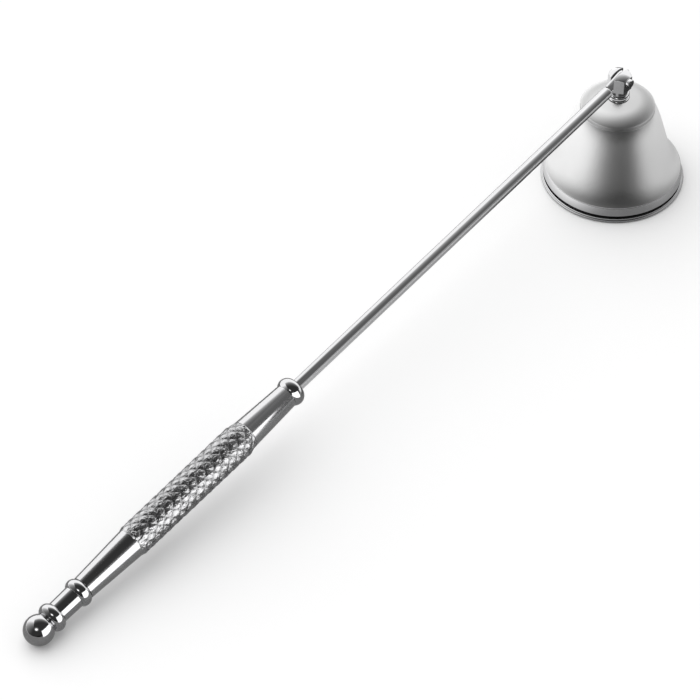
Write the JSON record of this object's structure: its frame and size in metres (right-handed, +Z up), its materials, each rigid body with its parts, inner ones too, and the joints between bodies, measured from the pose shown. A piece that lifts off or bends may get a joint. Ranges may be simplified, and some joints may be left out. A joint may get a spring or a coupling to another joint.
{
  "type": "candle snuffer",
  "caption": "Candle snuffer: a flared satin bell hinged by a cross pin to a long rod with a turned, diamond-knurled handle and a ball end.",
  "frame": {"origin": "centre of the bell's mouth, in the plane of the rim it stands on", "axes": "+Z up along the bell's axis, +X from the bell towards the handle, the hinge pin along Y"},
  "size_m": [0.2558, 0.0414, 0.0394],
  "materials": {
    "satin_bell": "satin turned",
    "polished_rim": "polished",
    "hinge_chrome": "polished",
    "plain_steel": "plain zinc-plated",
    "rod_chrome": "polished, drawn",
    "handle_chrome": "polished"
  },
  "bodies": {
    "bell": {"bell_shell": "satin_bell", "rim_ring": "polished_rim", "post_seat": "hinge_chrome", "hinge_post": "hinge_chrome", "hinge_pin": "hinge_chrome", "inner_washer": "plain_steel", "fixing_screw": "plain_steel"},
    "handle": {"rod": "rod_chrome", "front_collar": "handle_chrome", "grip": "handle_chrome", "tail_collar": "handle_chrome", "tail_neck": "handle_chrome", "end_collar": "handle_chrome", "ball_finial": "handle_chrome"}
  },
  "joints": [
    {"name": "rod_swing", "type": "hinge", "parent": "bell", "child": "handle", "pos_m": [0, 0, 0.037], "axis": [0, -1, 0], "range_deg": [-8, 204]}
  ]
}
